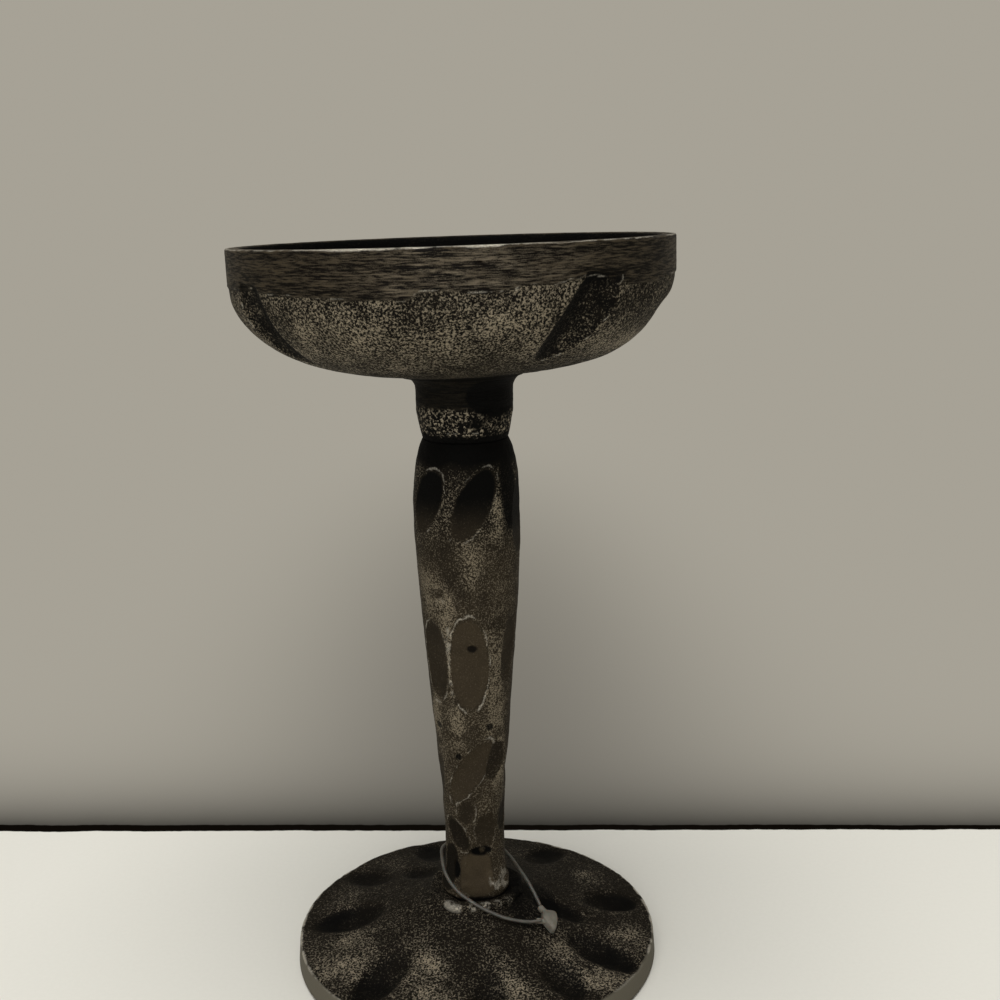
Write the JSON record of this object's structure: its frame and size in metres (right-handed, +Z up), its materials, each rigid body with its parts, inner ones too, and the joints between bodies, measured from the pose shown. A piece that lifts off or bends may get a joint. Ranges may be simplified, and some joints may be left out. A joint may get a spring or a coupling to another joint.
{
  "type": "pillar candle holder",
  "caption": "Footed pillar candle holder: shallow round dish with gouged sides on a tapering hammered stem and a domed round foot, with a small nylon tag loop round the stem.",
  "frame": {"origin": "centre of the felt's underside, on the axis of the stem, on the table", "axes": "+Z up along the stem, -Y towards the viewer of the picture, +X to the viewer's right"},
  "size_m": [0.1307, 0.1306, 0.231],
  "materials": {
    "blackened_casting": "sand cast, blackened and rubbed back, pitted",
    "weld_metal": "rough, lumpy weld",
    "zinc_steel": "zinc plated",
    "felt": "pressed felt",
    "clear_nylon": "translucent moulded nylon",
    "frosted_nylon": "frosted moulded nylon"
  },
  "bodies": {
    "holder": {"bowl": "blackened_casting", "stem": "blackened_casting", "base": "blackened_casting", "tie_rod": "zinc_steel", "rod_washer": "zinc_steel", "spring_washer": "zinc_steel", "rod_nut": "zinc_steel", "weld_bead": "weld_metal", "felt_disc": "felt"},
    "tag": {"tag_loop": "clear_nylon", "tag_lock": "frosted_nylon"}
  },
  "joints": [
    {"name": "tag_swivel", "type": "hinge", "parent": "holder", "child": "tag", "pos_m": [0, 0, 0.03], "axis": [0, 0, 1], "continuous": true}
  ]
}
